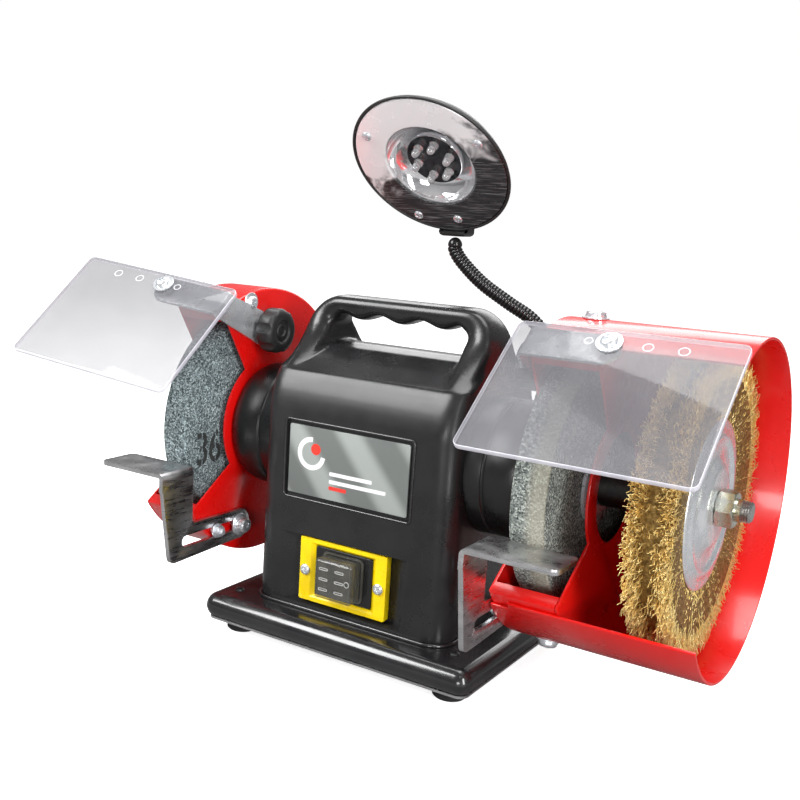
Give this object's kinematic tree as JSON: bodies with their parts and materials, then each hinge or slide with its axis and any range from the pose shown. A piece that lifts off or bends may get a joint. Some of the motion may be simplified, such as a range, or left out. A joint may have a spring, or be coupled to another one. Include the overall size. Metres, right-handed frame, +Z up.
{
  "type": "bench grinder",
  "caption": "Bench grinder: motor body with carrying handle, guarded abrasive wheel at each end, wire brush drum, eye shields, tool rests and gooseneck lamp.",
  "frame": {"origin": "middle of the bounding box, at the bench plane under the feet", "axes": "+X along the shaft towards the wire brush, -Y is the front that the user faces, +Z up"},
  "size_m": [0.4408, 0.2238, 0.3464],
  "materials": {
    "black_gloss_paint": "gloss black paint",
    "black_satin_enamel": "satin to gloss black enamel",
    "black_moulding": "satin black moulding",
    "black_rubber": "matt",
    "red_enamel": "gloss red enamel",
    "zinc_plate": "bright zinc plate",
    "bright_steel": "bright drawn steel",
    "black_casting": "black enamelled casting",
    "laminated_iron": "stacked sheet iron",
    "enamelled_copper": "varnished copper wire",
    "grey_abrasive": "coarse bonded grit",
    "brass_wire": "bright brassed wire",
    "yellow_plastic": "gloss yellow",
    "clear_soft_cover": "clear soft cover",
    "clear_acrylic": "clear polished sheet",
    "brushed_label": "brushed and printed",
    "polished_reflector": "mirror polished",
    "led_board_black": "gloss black"
  },
  "bodies": {
    "grinder_frame": {"base_pan": "black_gloss_paint", "bottom_plate": "bright_steel", "foot_front_left": "black_rubber", "foot_front_right": "black_rubber", "foot_back_left": "black_rubber", "foot_back_right": "black_rubber", "motor_housing": "black_satin_enamel", "end_bell_left": "black_casting", "end_bell_right": "black_casting", "bearing_left": "bright_steel", "bearing_right": "bright_steel", "winding_left": "enamelled_copper", "winding_right": "enamelled_copper", "stator_core": "laminated_iron", "capacitor": "black_moulding", "label_plate": "brushed_label", "switch_bezel": "yellow_plastic", "switch_body": "black_moulding", "switch_boot": "clear_soft_cover", "guard_left": "red_enamel", "guard_right": "red_enamel", "guard_cover_left": "red_enamel", "guard_cover_right": "red_enamel", "brush_drum": "red_enamel", "drum_screw_top": "zinc_plate", "drum_screw_bottom": "zinc_plate", "rest_bolt_left": "zinc_plate", "rest_bolt_right": "zinc_plate", "lamp_mount": "black_moulding", "lamp_neck_lower": "black_moulding", "cable_gland": "black_moulding"},
    "rotor": {"shaft": "bright_steel", "rotor_core": "laminated_iron", "wheel_left": "grey_abrasive", "wheel_right": "grey_abrasive", "flange_left_inner": "zinc_plate", "flange_left_outer": "zinc_plate", "flange_right_inner": "zinc_plate", "flange_right_outer": "zinc_plate", "nut_left": "zinc_plate", "nut_right": "zinc_plate", "brush_sleeve": "zinc_plate", "brush_wires": "brass_wire", "brush_flange_inner": "zinc_plate", "brush_flange_outer": "zinc_plate"},
    "rocker": {"switch_rocker": "black_moulding"},
    "rest_left": {"tool_rest_left": "bright_steel"},
    "rest_right": {"tool_rest_right": "bright_steel"},
    "shield_left": {"eye_shield_left": "clear_acrylic", "shield_bracket_left": "zinc_plate"},
    "shield_right": {"eye_shield_right": "clear_acrylic", "shield_bracket_right": "zinc_plate"},
    "knob_left": {"shield_knob_left": "black_moulding"},
    "knob_right": {"shield_knob_right": "black_moulding"},
    "neck": {"lamp_neck_upper": "black_moulding"},
    "lamp_head": {"lamp_socket": "black_moulding", "lamp_shell": "black_moulding", "lamp_face_plate": "polished_reflector", "lamp_reflector": "polished_reflector", "led_board": "led_board_black"}
  },
  "joints": [
    {"name": "shaft_spin", "type": "hinge", "parent": "grinder_frame", "child": "rotor", "pos_m": [-0.00064, 0.01786, 0.1296], "axis": [1, 0, 0], "continuous": true},
    {"name": "rocker_tilt", "type": "hinge", "parent": "grinder_frame", "child": "rocker", "pos_m": [-0.00364, -0.03234, 0.0525], "axis": [1, 0, 0], "range_deg": [-10, 0]},
    {"name": "rest_left_slide", "type": "slide", "parent": "grinder_frame", "child": "rest_left", "axis": [0, 1, 0], "range_m": [0, 0.005]},
    {"name": "rest_right_slide", "type": "slide", "parent": "grinder_frame", "child": "rest_right", "axis": [0, 1, 0], "range_m": [0, 0.005]},
    {"name": "shield_left_tilt", "type": "hinge", "parent": "grinder_frame", "child": "shield_left", "pos_m": [-0.10734, 0.00746, 0.1946], "axis": [1, 0, 0], "range_deg": [-70, 8]},
    {"name": "shield_right_tilt", "type": "hinge", "parent": "grinder_frame", "child": "shield_right", "pos_m": [0.10606, 0.00746, 0.1946], "axis": [1, 0, 0], "range_deg": [-70, 8]},
    {"name": "knob_left_turn", "type": "hinge", "parent": "grinder_frame", "child": "knob_left", "pos_m": [-0.10734, 0.00746, 0.1946], "axis": [1, 0, 0], "range_deg": [-180, 180]},
    {"name": "knob_right_turn", "type": "hinge", "parent": "grinder_frame", "child": "knob_right", "pos_m": [0.10606, 0.00746, 0.1946], "axis": [1, 0, 0], "range_deg": [-180, 180]},
    {"name": "neck_bend", "type": "hinge", "parent": "grinder_frame", "child": "neck", "pos_m": [0.04036, 0.07986, 0.2225], "axis": [0, 1, 0], "range_deg": [-20, 20]},
    {"name": "lamp_tilt", "type": "hinge", "parent": "neck", "child": "lamp_head", "pos_m": [-0.00064, 0.07786, 0.258], "axis": [1, 0, 0], "range_deg": [-25, 25]}
  ]
}
